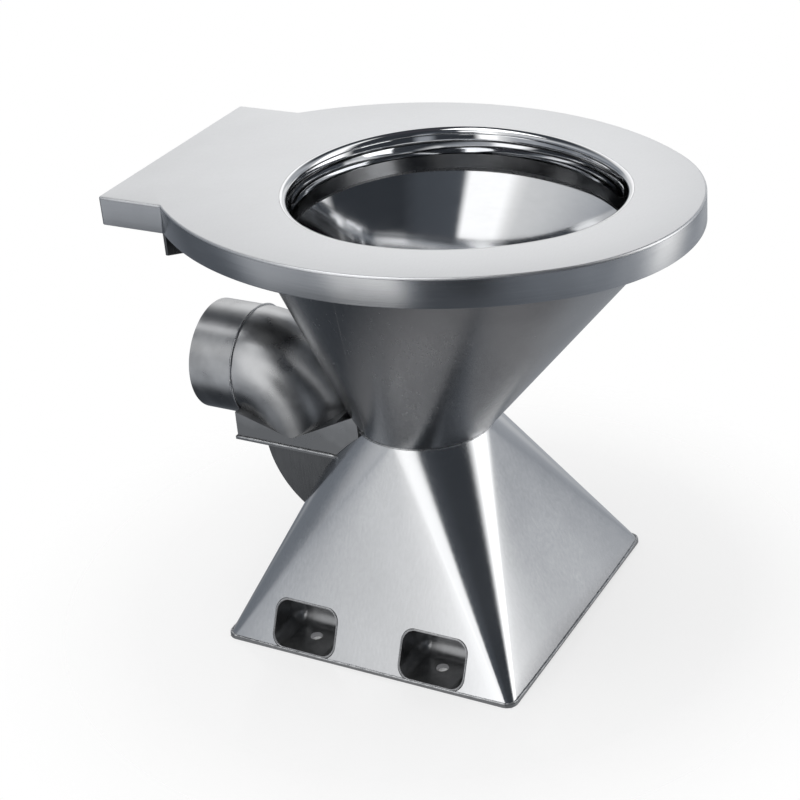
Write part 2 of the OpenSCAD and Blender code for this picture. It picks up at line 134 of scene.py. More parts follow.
def oval_at(a, b, nose, cy, theta, grow=0.0):
    """Point of a four-centre oval whose outward normal is at angle theta (degrees)."""
    t = theta % 360
    c, s = math.cos(math.radians(t)), math.sin(math.radians(t))
    d = b - nose
    if abs(a - nose) < 1e-6:
        return (nose + grow) * c, cy + (nose + grow) * s
    side = (a * a + d * d - nose * nose) / (2 * (a - nose))
    turn = math.degrees(math.atan2(d, side - a))
    if t <= turn or t >= 360 - turn:
        return a - side + (side + grow) * c, cy + (side + grow) * s
    if t < 180 - turn:
        return (nose + grow) * c, cy + d + (nose + grow) * s
    if t <= 180 + turn:
        return side - a + (side + grow) * c, cy + (side + grow) * s
    return (nose + grow) * c, cy - d + (nose + grow) * s


def open_at(theta, grow=0.0):
    """Point of the opening's edge: a long oval forward of its widest place, a round one behind it."""
    a, b, nose = OPEN_REAR if theta % 360 < 180 else OPEN_FRONT
    return oval_at(a, b, nose, OPEN_Y, theta, grow)


def ring_mesh(name, rings, closed=True):
    """Skins rings of equal length; closed joins the last ring to the first."""
    n = len(rings[0])
    verts = [v for r in rings for v in r]
    faces = []
    for i in range(len(rings) if closed else len(rings) - 1):
        j = (i + 1) % len(rings)
        for k in range(n):
            m = (k + 1) % n
            faces.append((i * n + k, i * n + m, j * n + m, j * n + k))
    return new_object(name, verts, faces)


def boolean(ob, cutter, op="DIFFERENCE"):
    """Cuts an object with a second one, and removes that one."""
    m = ob.modifiers.new("cut", "BOOLEAN")
    m.object = cutter
    m.operation = op
    m.solver = "EXACT"
    dg = bpy.context.evaluated_depsgraph_get()
    me = bpy.data.meshes.new_from_object(ob.evaluated_get(dg))
    ob.modifiers.clear()
    old = ob.data
    ob.data = me
    bpy.data.meshes.remove(old)
    cm = cutter.data
    bpy.data.objects.remove(cutter)
    bpy.data.meshes.remove(cm)


def prism(name, outline, lo, hi, axes):
    """Extrudes an outline; axes maps (u, v, w) to (x, y, z)."""
    n = len(outline)
    verts = [axes(u, v, w) for w in (lo, hi) for u, v in outline]
    faces = [tuple(range(n)), tuple(range(2 * n - 1, n - 1, -1))]
    faces += [(k, (k + 1) % n, n + (k + 1) % n, n + k) for k in range(n)]
    return new_object(name, verts, faces)


def round_rect(cu, cv, w, h, r, n=10):
    """Outline of a rectangle with round corners, n steps to a corner."""
    pts = []
    for q, (su, sv) in enumerate(((1, 1), (-1, 1), (-1, -1), (1, -1))):
        for i in range(n + 1):
            a = math.radians(90 * q + 90 * i / n)
            pts.append((cu + su * (w / 2 - r) + r * math.cos(a), cv + sv * (h / 2 - r) + r * math.sin(a)))
    return pts


# Camera
def add_camera():
    """The photograph's view: place, yaw, pitch and roll of the camera, and its lens."""
    yaw, pitch, roll = (math.radians(v) for v in YAW_PITCH_ROLL)
    forward = Vector((math.cos(yaw) * math.cos(pitch), math.sin(yaw) * math.cos(pitch), -math.sin(pitch)))
    right = forward.cross(Vector((0, 0, 1))).normalized()
    up = right.cross(forward)
    c, s = math.cos(roll), math.sin(roll)
    right, up = c * right + s * up, c * up - s * right
    data = bpy.data.cameras.new("camera")
    data.sensor_width = SENSOR
    data.sensor_fit = "HORIZONTAL"
    data.lens = FOCAL_PIXELS * SENSOR / PHOTO_PIXELS
    data.clip_start = 0.05
    data.clip_end = 50
    cam = bpy.data.objects.new("camera", data)
    scene.collection.objects.link(cam)
    m = Matrix.Identity(4)
    for i, v in enumerate((right, up, -forward)):
        for j in range(3):
            m[j][i] = v[j]
    m.translation = Vector(CAMERA_PLACE)
    cam.matrix_world = m
    scene.camera = cam


add_camera()


# The deck
def arc(cx, cy, r, a0, a1, n):
    """Points of an arc from one angle to another, in degrees."""
    return [(cx + r * math.cos(math.radians(a0 + (a1 - a0) * i / n)),
             cy + r * math.sin(math.radians(a0 + (a1 - a0) * i / n))) for i in range(n + 1)]


def deck_outline(inset):
    """Closed outline of the deck, anticlockwise from the right notch round the back, in mm."""
    a, b, nose, cy = HEAD
    a, b, nose = a - inset, b - inset, nose - inset
    half, back, r = BLOCK_HALF - inset, BLOCK_BACK - inset, max(BLOCK_R - inset, 0.6)
    d = b - nose
    ny = cy + d + math.sqrt(nose * nose - half * half)
    pts = [(half, ny + DECK_FILLET)]
    pts += [(half, ny + (back - r - ny) * i / 6) for i in range(1, 7)]
    pts += arc(half - r, back - r, r, 0, 90, 6)[1:]
    pts += [(half - r - (2 * half - 2 * r) * i / 24, back) for i in range(1, 24)]
    pts += arc(r - half, back - r, r, 90, 180, 6)
    pts += [(-half, back - r - (back - r - ny) * i / 6) for i in range(1, 6)]
    pts += [(-half, ny + DECK_FILLET)]
    start = math.degrees(math.asin(half / nose)) + 90      # normal angle where the left arc starts
    end = 360 + 90 - math.degrees(math.asin(half / nose))
    for i in range(HEAD_STEPS + 1):
        pts.append(oval_at(a, b, nose, cy, start + (end - start) * i / HEAD_STEPS))
    return pts


def deck_plate():
    """The plate: a rounded top edge, a flat top and the opening."""
    edge = [(DECK_BREAK, DECK_LOW), (0, DECK_LOW + DECK_BREAK)]
    edge += [(DECK_EDGE_R - x, DECK_H - DECK_EDGE_R + z) for x, z in arc(0, 0, DECK_EDGE_R, 0, 90, 6)]
    rings = [[(x, y, z) for x, y in deck_outline(inset)] for inset, z in edge]
    n = len(rings[0])
    m = OPEN_STEPS
    hole_top = [open_at(360 * k / m, SEAM) for k in range(m)]
    verts = [v for r in rings for v in r]
    faces = []
    for i in range(len(rings) - 1):
        for k in range(n):
            faces.append((i * n + k, i * n + (k + 1) % n, (i + 1) * n + (k + 1) % n, (i + 1) * n + k))
    base = len(verts)
    verts += [(x, y, DECK_H) for x, y in hole_top] + [(x, y, DECK_LOW) for x, y in hole_top]
    for k in range(m):
        faces.append((base + k, base + (k + 1) % m, base + m + (k + 1) % m, base + m + k))
    ob = new_object("deck_plate", verts, faces)
    bm = bmesh.new()
    bm.from_mesh(ob.data)
    for rim, hole in (((len(rings) - 1) * n, base), (0, base + m)):
        bm.verts.ensure_lookup_table()
        edges = []
        for s, c in ((rim, n), (hole, m)):
            edges += [bm.edges.get((bm.verts[s + k], bm.verts[s + (k + 1) % c])) for k in range(c)]
        bmesh.ops.triangle_fill(bm, edges=edges, use_beauty=True)
    bm.to_mesh(ob.data)
    bm.free()
    finish_mesh(ob, 40)
    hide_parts("seat_deck")
    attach(ob, "root")
    return ob


def deck_band():
    """The skirt under the edge of the plate."""
    corner = 0.3 * SKIRT_LIP
    prof = [(0, DECK_LOW - APART), (0, SKIRT_LOW + SKIRT_LIP), (corner, SKIRT_LOW + corner),
            (SKIRT_LIP, SKIRT_LOW), (SKIRT_WALL - SKIRT_BREAK, SKIRT_LOW),
            (SKIRT_WALL, SKIRT_LOW + SKIRT_BREAK), (SKIRT_WALL, DECK_LOW - APART)]
    ob = ring_mesh("deck_band", [[(x, y, z) for x, y in deck_outline(i)] for i, z in prof])
    finish_mesh(ob, 40)
    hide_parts("deck_skirt")
    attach(ob, "root")
    return ob


def sweep_opening(name, profile):
    """Sweeps a closed profile of (outward, z) round the opening."""
    rings = []
    for off, z in profile:
        rings.append([(*open_at(360 * k / OPEN_STEPS, off), z) for k in range(OPEN_STEPS)])
    ob = ring_mesh(name, rings)
    finish_mesh(ob, 40)
    return ob


def bulge(radius, cx, cz, half):
    """Points of the bead's bulge towards the bowl, upwards from its lower edge."""
    return [(cx - radius * math.cos(math.radians(q)), cz + radius * math.sin(math.radians(q)))
            for q in [-half + 2 * half * i / BEAD_ROWS for i in range(BEAD_ROWS + 1)]]


def rim_pieces():
    """The rolled lip, the bead with the band below it, and the floor of the flush channel."""
    r, w = LIP_R, RIM_WALL
    prof = arc(0, BEAD_TOP, r, 180, 90, 15) + arc(0, BEAD_TOP, r - w, 90, 180, 15)
    lip = sweep_opening("lip_roll", prof)
    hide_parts("rim_lip")
    br = (BEAD_H ** 2 / 4 + BEAD_BULGE ** 2) / (2 * BEAD_BULGE)
    cx, cz = br - BEAD_BULGE - LIP_R, BEAD_LOW + BEAD_H / 2
    outer = bulge(br, cx, cz, math.degrees(math.asin(BEAD_H / 2 / br)))[::-1]
    inner = bulge(br - w, cx, cz, math.degrees(math.asin(BEAD_H / 2 / (br - w))))
    band_in, band_out = BAND_STEP - LIP_R, BAND_STEP - LIP_R + w
    prof = [*outer, (band_in, BEAD_LOW), (band_in, BAND_LOW),
            (band_out, BAND_LOW), (band_out, BEAD_LOW), *inner]
    bead = sweep_opening("rim_bead", prof)
    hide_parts("flush_rim")
    top, low, wide = BAND_LOW - APART, BAND_LOW - RIM_WALL, band_in + FLOOR_W
    prof = [(band_in, top), (band_in, low), (wide, low), (wide, top)]
    shelf = sweep_opening("rim_shelf", prof)
    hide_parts("rim_floor")
    for ob, slot in ((lip, "rim_polished"), (bead, "rim_polished"), (shelf, "plain_steel")):
        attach(ob, "root")
    return lip, bead, shelf


# The bowl
def bowl_piece():
    """The ruled cone of the bowl, inside and outside, with the flush box's opening in its back."""
    m, rows = BOWL_STEPS, BOWL_ROWS
    inner, outer = [], []
    for i in range(rows):
        t = i / (rows - 1)
        z = BOWL_Z[0] + (BOWL_Z[1] - BOWL_Z[0]) * t
        po, pi = [], []
        for k in range(m):
            th = 360 * (k + 0.5) / m
            xl, yl = oval_at(*BOWL_LOW, th)
            xt, yt = oval_at(*BOWL_TOP, th)
            x, y = xl + (xt - xl) * t, yl + (yt - yl) * t
            c, s = math.cos(math.radians(th)), math.sin(math.radians(th))
            po.append((x, y, z))
            pi.append((x - BOWL_WALL * c, y - BOWL_WALL * s, z))
        outer.append(po)
        inner.append(pi)

    def in_window(i, k):
        x, y, z = outer[i][k]
        return y > 0 and abs(x) < WINDOW_HALF and WINDOW_Z[0] < z < WINDOW_Z[1]

    verts = [v for r in outer + inner for v in r]
    off = rows * m
    faces, hole = [], set()
    for i in range(rows - 1):
        for k in range(m):
            n = (k + 1) % m
            if in_window(i, k) and in_window(i + 1, n):
                hole.add((i, k))
                continue
            faces.append((i * m + k, i * m + n, (i + 1) * m + n, (i + 1) * m + k))
            faces.append((off + i * m + k, off + (i + 1) * m + k, off + (i + 1) * m + n, off + i * m + n))
    for i, k in hole:
        n = (k + 1) % m
        for (di, dk), (a, b) in {(-1, 0): ((i, k), (i, n)), (1, 0): ((i + 1, k), (i + 1, n)),
                                 (0, -1): ((i, k), (i + 1, k)), (0, 1): ((i, n), (i + 1, n))}.items():
            if (i + di, (k + dk) % m) not in hole:
                va, vb = a[0] * m + a[1], b[0] * m + b[1]
                faces.append((va, vb, off + vb, off + va))
    for k in range(m):
        n = (k + 1) % m
        faces.append((k, n, off + n, off + k))
        top = (rows - 1) * m
        faces.append((top + k, top + n, off + top + n, off + top + k))
    ob = new_object("bowl_shell", verts, faces)
    finish_mesh(ob, 40)
    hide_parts("bowl_front", "bowl_rear")
    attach(ob, "root")
    return ob


# The foot
def bowl_level(z):
    """Half width, half length and middle y of the bowl's outside at a height."""
    t = (z - BOWL_Z[0]) / (BOWL_Z[1] - BOWL_Z[0])
    return (BOWL_LOW[0] + (BOWL_TOP[0] - BOWL_LOW[0]) * t, BOWL_LOW[1] + (BOWL_TOP[1] - BOWL_LOW[1]) * t,
            BOWL_LOW[3] + (BOWL_TOP[3] - BOWL_LOW[3]) * t)


def foot_rings(inset, past):
    """Rings of the square-to-round form, ruled between points of equal normal.

    inset moves it inwards, and past carries it on below its foot and above its neck."""
    a, b, cy = bowl_level(FOOT_Z[1])
    a, b = a + SEAM + FOOT_WALL / 2 - inset, b + SEAM + FOOT_WALL / 2 - inset
    half, r = FOOT_HALF - inset, FOOT_R - inset
    turn = math.radians(FOOT_TURN)
    end = half - r + r * math.sin(turn)
    low, top = [], []
    for q in range(4):
        for i in range(FOOT_EDGE):
            u = -1 + 2 * i / FOOT_EDGE
            x, y = half - r * (1 - math.cos(turn)) + end * math.tan(turn) / 4 * (1 - u ** 4), u * end
            for _ in range(q):
                x, y = -y, x
            low.append((x, y))
            top.append(math.radians(90 * q) + math.atan(math.tan(turn) * u ** 3))
        for i in range(FOOT_CORNER):
            th = 90 * q + FOOT_TURN + (90 - 2 * FOOT_TURN) * i / FOOT_CORNER
            cxy = [(1, 1), (-1, 1), (-1, -1), (1, -1)][q]
            low.append((cxy[0] * (half - r) + r * math.cos(math.radians(th)),
                        cxy[1] * (half - r) + r * math.sin(math.radians(th))))
            top.append(math.radians(th))
    tops = []
    for th in top:
        c, s = math.cos(th), math.sin(th)
        h = math.hypot(a * c, b * s)
        tops.append((a * a * c / h, cy + b * b * s / h))
    height = FOOT_Z[1] - FOOT_Z[0]
    rings = []
    for i in range(FOOT_ROWS + 1):
        z = FOOT_Z[0] - past + (height + past) * i / FOOT_ROWS
        t = (z - FOOT_Z[0]) / height
        rings.append([(lx + (tx - lx) * t, ly + (ty - ly) * t, z) for (lx, ly), (tx, ty) in zip(low, tops)])
    if past:
        rings.append([(x, y, FOOT_Z[1] + past) for x, y, z in rings[-1]])
    return rings


def capped(name, rings):
    """A solid skinned over rings and closed at both ends."""
    ob = ring_mesh(name, rings, closed=False)
    bm = bmesh.new()
    bm.from_mesh(ob.data)
    n = len(rings[0])
    bm.verts.ensure_lookup_table()
    bm.faces.new([bm.verts[k] for k in range(n)])
    last = (len(rings) - 1) * n
    bm.faces.new([bm.verts[last + k] for k in range(n - 1, -1, -1)])
    bmesh.ops.remove_doubles(bm, verts=bm.verts, dist=MERGE)
    bmesh.ops.recalc_face_normals(bm, faces=bm.faces)
    bm.to_mesh(ob.data)
    bm.free()
    return ob


def bowl_solid(name, grow):
    """The bowl's outer form as one solid, for cutting."""
    return capped(name, [[(*oval_at(*oval, 360 * k / CUT_STEPS, grow), z) for k in range(CUT_STEPS)]
                         for oval, z in zip((BOWL_LOW, BOWL_TOP), BOWL_Z)])


def side_prism(name, outline, lo, hi):
    """Extrudes a (y, z) outline along x."""
    return prism(name, outline, lo, hi, lambda u, v, w: (w, u, v))


def foot_piece():
    """The square-to-round foot, open for the pockets, the trap, its top plate and the bend's foot."""
    ob = capped("foot_shell", foot_rings(0, 0))
    boolean(ob, capped("inner", foot_rings(FOOT_WALL, 1)))
    boolean(ob, bowl_solid("bowl_cut", SEAM))
    grow = POCKET_WALL + SEAM
    for sx in (-1, 1):
        for sy in (-1, 1):
            out = round_rect(sy * POCKET_Y, POCKET_Z, POCKET_W + 2 * grow, POCKET_H + 2 * grow, POCKET_CUT_R)
            lo, hi = sorted((sx * POCKET_CUT_X, sx * POCKET_FRONT))
            boolean(ob, side_prism("pocket_cut", out, lo, hi))
    (y0, y1), (z0, z1) = PLATE_Y, PLATE_Z
    trap = [*TRAP_FRONT, *arc(*TRAP_BACK, 32), (y0, z0)]
    boolean(ob, side_prism("trap_cut", trap, -TRAP_HALF, TRAP_HALF))
    boolean(ob, side_prism("plate_cut", [(y0, z0), (y1, z0), (y1, z1), (y0, z1)], -PLATE_HALF, PLATE_HALF))
    boolean(ob, side_prism("bend_cut", BEND_FOOT, -TRAP_HALF, TRAP_HALF))
    finish_mesh(ob, 30)
    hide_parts("foot_left", "foot_right")
    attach(ob, "root")
    return ob


# The fixing pockets
def pocket_piece(node, sx, sy):
    """A pressed cup with rounded corners, trimmed flush with the foot, and its bolt hole."""

    def cup(name, grow, back, front):
        rings = []
        r0 = POCKET_TURN_R + grow
        for i in range(13):
            q = math.radians(90 * i / 12)
            out, x = grow - r0 * (1 - math.sin(q)), back + r0 * (1 - math.cos(q))
            ring = round_rect(sy * POCKET_Y, POCKET_Z, POCKET_W + 2 * out, POCKET_H + 2 * out,
                              max(POCKET_R + out, POCKET_LEAST_R), 12)
            rings.append([(sx * x, y, z) for y, z in ring])
        rings.append([(sx * front, y, z) for _, y, z in rings[-1]])
        return capped(name, rings)

    ob = cup(node + "_cup", POCKET_WALL, POCKET_BACK - POCKET_WALL, POCKET_FRONT)
    boolean(ob, cup("inner", 0, POCKET_BACK, POCKET_FRONT + POCKET_PAST))
    boolean(ob, capped("trim", foot_rings(0, 0)), "INTERSECT")
    hole = arc(sx * BOLT_X, sy * POCKET_Y, BOLT_R, 0, 360, 48)[:-1]
    boolean(ob, prism("bolt_hole", hole, *BOLT_Z, lambda u, v, w: (u, v, w)))
    finish_mesh(ob, 40)
    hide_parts(node)
    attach(ob, "root")
    return ob


# The welds
def bead(name, path, radius, closed, seed, rough, step=1.2):
    """A weld bead: a tube along a path of points, resampled finely and made uneven by its seed."""
    pts = [Vector(p) for p in path]
    if closed:
        pts.append(pts[0])
    fine = []
    for p, q in zip(pts, pts[1:]):
        m = max(1, int((q - p).length / step))
        fine += [p.lerp(q, k / m) for k in range(m)]
    if not closed:
        fine.append(pts[-1])
    rnd = random.Random(seed)
    count, sides = len(fine), 10
    waves = [(rnd.uniform(0.15, 1.3), rnd.uniform(0, 6.28), rnd.uniform(0.4, 1)) for _ in range(7)]
    verts, faces = [], []
    for i, p in enumerate(fine):
        a = fine[i - 1] if i or closed else p
        b = fine[(i + 1) % count] if i < count - 1 or closed else p
        t = (b - a).normalized()
        side = t.cross(Vector((0, 0, 1)))
        side = side.normalized() if side.length > 0.1 else t.cross(Vector((1, 0, 0))).normalized()
        up = side.cross(t)
        r = radius * (1 + rough * sum(w * math.sin(f * i + ph) for f, ph, w in waves) / 4)
        if not closed and i in (0, count - 1):
            r *= 0.3
        for k in range(sides):
            g = 2 * math.pi * k / sides
            verts.append(p + side * (r * math.cos(g)) + up * (r * math.sin(g)))
    for i in range(count if closed else count - 1):
        j = (i + 1) % count
        for k in range(sides):
            m = (k + 1) % sides
            faces.append((i * sides + k, j * sides + k, j * sides + m, i * sides + m))
    if not closed:
        faces.append(tuple(range(sides)))
        faces.append(tuple(range(len(verts) - 1, len(verts) - sides - 1, -1)))
    ob = new_object(name, verts, faces)
    finish_mesh(ob, 60)
    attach(ob, "root")
    return ob


def neck_line():
    """The bowl's edge on top of the foot, left out at the back, where the bend's foot covers it."""
    a, b, cy = bowl_level(NECK_WELD_Z)
    return [((a + SEAM) * math.cos(t), cy + (b + SEAM) * math.sin(t), NECK_WELD_Z)
            for t in (2 * math.pi * k / 120 for k in range(120)) if cy + b * math.sin(t) <= NECK_WELD_BACK]


def mouth_line():
    """The circle where the outlet pipe meets the bend."""
    return [(MOUTH_R * math.cos(t), MOUTH_Y, OUTLET_Z + MOUTH_R * math.sin(t))
            for t in (2 * math.pi * k / 140 for k in range(140))]


def bowl_line(sx):
    """The bowl's seam on one side: a slanting line on the cone, each point found by halving an angle."""
    line = []
    for k in range(61):
        z = SEAM_Z[0] + (SEAM_Z[1] - SEAM_Z[0]) * k / 60
        t = (z - BOWL_Z[0]) / (BOWL_Z[1] - BOWL_Z[0])
        y = SEAM_Y[0] + (SEAM_Y[1] - SEAM_Y[0]) * t
        lo, hi = 90.0, 180.0
        for _ in range(30):
            th = (lo + hi) / 2
            at_y = oval_at(*BOWL_LOW, th)[1] * (1 - t) + oval_at(*BOWL_TOP, th)[1] * t
            lo, hi = (th, hi) if at_y > y else (lo, th)
        x = oval_at(*BOWL_LOW, th)[0] * (1 - t) + oval_at(*BOWL_TOP, th)[0] * t
        line.append((-sx * x, y, z))
    return line


def pocket_line(sx, sy):
    """The edge of a pocket on the foot's slightly bulged side."""
    rim = []
    low, crown, reach, top = POCKET_WELD_SIDE
    out = POCKET_WELD_OUT
    for y, z in round_rect(sy * POCKET_Y, POCKET_Z, POCKET_W + 2 * out, POCKET_H + 2 * out, POCKET_R + out):
        t = (z - FOOT_Z[0]) / (FOOT_Z[1] - FOOT_Z[0])
        x = (low - crown * (y / (1 - t) / reach) ** 4) * (1 - t) + top * t
        rim.append((sx * (x - POCKET_WELD_IN), y, z))
    return rim


def welds():
    """All the weld beads, with a seed of its own for each."""
    out = [bead("weld_neck", neck_line(), 0.75, False, 3, 0.12)]
    ring = foot_rings(-FOOT_WELD_OUT, 0)[0]
    out.append(bead("weld_foot", [(x, y, FOOT_WELD_Z) for x, y, z in ring], 0.8, True, 5, 0.2))
    out.append(bead("weld_mouth", mouth_line(), 1.2, True, 7, 0.35))
    (side, back, front, z), (half, y, rear_z) = PLATE_WELD, PLATE_WELD_REAR
    for n, sx in enumerate((-1, 1)):
        line = [(sx * side, back, z), (sx * side, front, z)]
        out.append(bead("weld_plate_%d" % n, line, 1.15, False, 11 + n, 0.12, 2.6))
    out.append(bead("weld_plate_rear", [(-half, y, rear_z), (half, y, rear_z)], 1.1, False, 17, 0.12, 2.6))
    for n, sx in enumerate((-1, 1)):
        out.append(bead("weld_bowl_%d" % n, bowl_line(sx), 0.18, False, 23 + n, 0.2, 3))
    for n, (sx, sy) in enumerate(((-1, -1), (-1, 1), (1, -1), (1, 1))):
        out.append(bead("weld_pocket_%d" % n, pocket_line(sx, sy), 0.45, True, 31 + n, 0.15))
    return out


deck = deck_plate()
band = deck_band()
lip, roll, shelf = rim_pieces()
bowl = bowl_piece()
foot = foot_piece()
cups = [pocket_piece("pocket_%s_%s" % (end, side), sx, sy)
        for side, sx in (("left", -1), ("right", 1)) for end, sy in (("front", -1), ("rear", 1))]
beads = welds()


# Materials
class Nodes:
    """Short names for building a shader's node tree."""

    def __init__(self, tree):
        self.tree = tree

    def add(self, kind, props=None, **inputs):
        n = self.tree.nodes.new(kind)
        for k, v in (props or {}).items():
            setattr(n, k, v)
        for k, v in inputs.items():
            key = int(k[1:]) if k[0] == "_" and k[1:].isdigit() else k.replace("_", " ")
            sock = n.inputs[key]
            if isinstance(v, bpy.types.NodeSocket):
                self.tree.links.new(v, sock)
            else:
                sock.default_value = v
        return n

    def math(self, op, a, b=0.0):
        return self.add("ShaderNodeMath", {"operation": op}, _0=a, _1=b).outputs[0]

    def mix(self, fac, a, b):
        n = self.add("ShaderNodeMix", {"data_type": "RGBA"})
        for k, v in ((0, fac), (6, a), (7, b)):
            if isinstance(v, bpy.types.NodeSocket):
                self.tree.links.new(v, n.inputs[k])
            else:
                n.inputs[k].default_value = v
        return n.outputs[2]

    def scaled(self, vec, scale):
        return self.add("ShaderNodeMapping", None, Vector=vec, Scale=scale).outputs[0]

    def noise(self, vec, scale, detail, rough):
        n = self.add("ShaderNodeTexNoise", None, Vector=vec, Scale=scale, Detail=detail, Roughness=rough)
        return n.outputs[0]

    def ramp(self, fac, stops):
        n = self.add("ShaderNodeValToRGB", None, Fac=fac)
        r = n.color_ramp
        r.interpolation = "LINEAR"
        while len(r.elements) < len(stops):
            r.elements.new(0.5)
        for e, (at, v) in zip(r.elements, stops):
            e.position = at
            e.color = tuple(v) + (1,) if isinstance(v, (tuple, list)) else (v, v, v, 1)
        return n.outputs[0]

    def range(self, fac, lo, hi, to_lo, to_hi):
        n = self.add("ShaderNodeMapRange", {"clamp": True}, _0=fac, _1=lo, _2=hi, _3=to_lo, _4=to_hi)
        return n.outputs[0]


def grey(v):
    """The tone of steel, which is a little cooler than a plain grey."""
    return (v * 0.985, v * 0.995, v * 1.01, 1)


def cool(v):
    """A studio tone: neutral where it is light, a little blue where it is dark."""
    k = max(0.0, 1 - v) ** 2
    return (v * (1 - 0.13 * k), v, v * (1 + 0.20 * k))


def steel(name, dark, light, rough, grain, bump, aniso=0.0, turn=0.0, blotch=14.0, rough_spread=0.05,
          strokes=0.35, tarnish=None):
    """Stainless steel: cloudy tone, fine strokes along a grain direction, matching bump and gloss.

    The last argument holds the two heights, in metres, over which the painted shade on the low parts fades
    out, and the shade's tone below them."""
    mat = bpy.data.materials.new(name)
    mat.use_nodes = True
    n = Nodes(mat.node_tree)
    bsdf = mat.node_tree.nodes["Principled BSDF"]
    co = n.add("ShaderNodeTexCoord").outputs["Object"]
    cloud = n.noise(co, blotch, 3.0, 0.55)
    line = n.noise(n.scaled(co, grain), 1.0, 3.0, 0.6)
    tone = n.math("ADD", n.math("MULTIPLY", cloud, 1 - strokes), n.math("MULTIPLY", line, strokes))
    colour = n.mix(n.range(tone, 0.32, 0.68, 0, 1), grey(dark), grey(light))
    # Painted shade: below a height that wanders with the cloud, the steel is darkened to a set tone.
    if tarnish:
        height = n.math("ADD", n.add("ShaderNodeSeparateXYZ", None, Vector=co).outputs[2],
                        n.math("MULTIPLY", n.math("SUBTRACT", cloud, 0.5), 0.07))
        colour = n.mix(n.range(height, tarnish[0], tarnish[1], 0, 1), grey(tarnish[2]), colour)
    n.tree.links.new(colour, bsdf.inputs["Base Color"])
    rgh = n.math("ADD", n.math("MULTIPLY", cloud, 0.5), n.math("MULTIPLY", line, 0.5))
    rgh = n.range(rgh, 0.3, 0.7, rough - rough_spread, rough + rough_spread)
    n.tree.links.new(rgh, bsdf.inputs["Roughness"])
    bsdf.inputs["Metallic"].default_value = 1.0
    if bump:
        b = n.add("ShaderNodeBump", None, Strength=bump, Distance=0.0002, Height=line)
        n.tree.links.new(b.outputs[0], bsdf.inputs["Normal"])
    if aniso:
        bsdf.inputs["Anisotropic"].default_value = aniso
        bsdf.inputs["Anisotropic Rotation"].default_value = turn
        t = n.add("ShaderNodeTangent", {"direction_type": "RADIAL", "axis": "Z"})
        n.tree.links.new(t.outputs[0], bsdf.inputs["Tangent"])
    return mat


MATS = {
    "deck_satin": steel("deck_satin", 0.72, 0.84, 0.36, (180, 900, 180), 0.06, blotch=9),
    "skirt_brushed": steel("skirt_brushed", 0.62, 0.78, 0.23, (14, 14, 1400), 0.2, aniso=0.85, turn=0.25),
    "rim_polished": steel("rim_polished", 0.74, 0.80, 0.06, (30, 30, 400), 0.01, rough_spread=0.02),
    # bowl_brushed's dark tone is partly the cone's brushed finish and partly painted shade under the deck.
    "bowl_brushed": steel("bowl_brushed", 0.34, 0.44, 0.24, (300, 300, 20), 0.02, blotch=12),
    "bowl_mirror": steel("bowl_mirror", 0.72, 0.78, 0.07, (60, 60, 200), 0.01, rough_spread=0.02),
    "foot_satin": steel("foot_satin", 0.70, 0.78, 0.16, (500, 500, 60), 0.05, blotch=10),
    # pocket_polished is painted far darker than the foot, as shade in the pockets' recesses.
    "pocket_polished": steel("pocket_polished", 0.30, 0.42, 0.32, (200, 200, 200), 0.03, blotch=60),
    # The pickled steel is painted darker below 0.165 to 0.212 m, as shade on its low parts.
    "pickled_steel": steel("pickled_steel", 0.38, 0.64, 0.30, (60, 60, 60), 0.03, blotch=22,
                           rough_spread=0.06, strokes=0.2, tarnish=(0.165, 0.212, 0.27)),
    "weld": steel("weld", 0.40, 0.68, 0.28, (300, 300, 300), 0.1, blotch=90),
    # The channel steel is painted very dark, as shade on the band under the bead.
    "channel_painted_shade": steel("channel_painted_shade", 0.14, 0.24, 0.18, (60, 60, 200), 0, blotch=20, strokes=0.1),
    # plain_steel is painted very dark, as shade; among others it goes on the flush channel's floor under the
    # rim.
    "plain_steel": steel("plain_steel", 0.12, 0.19, 0.28, (40, 700, 40), 0.08, blotch=18),
}
slots = {p["node"]: p["material_slot"] for p in frame["record"]["subparts"]}
# The base frame takes the dark pocket steel: painted shade on it and in the view into the bolt holes.
for name, ob in frame["nodes"].items():
    for s in ob.material_slots:
        s.material = MATS["pocket_polished" if name == "base_frame" else slots[name]]
for ob, names in ((deck, ["deck_satin"]), (band, ["skirt_brushed"]), (lip, ["rim_polished"]),
                  (roll, ["rim_polished", "channel_painted_shade"]), (shelf, ["plain_steel"]),
                  (bowl, ["bowl_brushed", "bowl_mirror"]), (foot, ["foot_satin"]),
                  *((c, ["pocket_polished"]) for c in cups),
                  *((w, ["bowl_brushed" if "bowl" in w.name else "weld"]) for w in beads)):
    for m in names:
        ob.data.materials.append(MATS[m])
# The band below the bead takes the dark channel steel: painted shade under the bead.
for p in roll.data.polygons:
    if p.center.z < (BEAD_LOW - APART / 2) * MM:
        p.material_index = 1
# A face of the bowl that looks towards its middle is on the mirror side
for p in bowl.data.polygons:
    if p.normal.xy.dot(Vector((p.center.x, p.center.y - BOWL_LOW[3] * MM * (p.center.z < 0.2)))) < 0:
        p.material_index = 1


# The studio
FLOOR_FADE, FADE_LATER = (0.13, 0.27), 0.14   # metres from the middle, and how much later for the camera
FLOOR_LIFT, UNDER_FOOT = 0.6, 0.139           # share of white that the camera sees in it, past the foot
FLOOR_GLOW = (0.42, 0.42, 0.43, 1)            # its tone in reflections


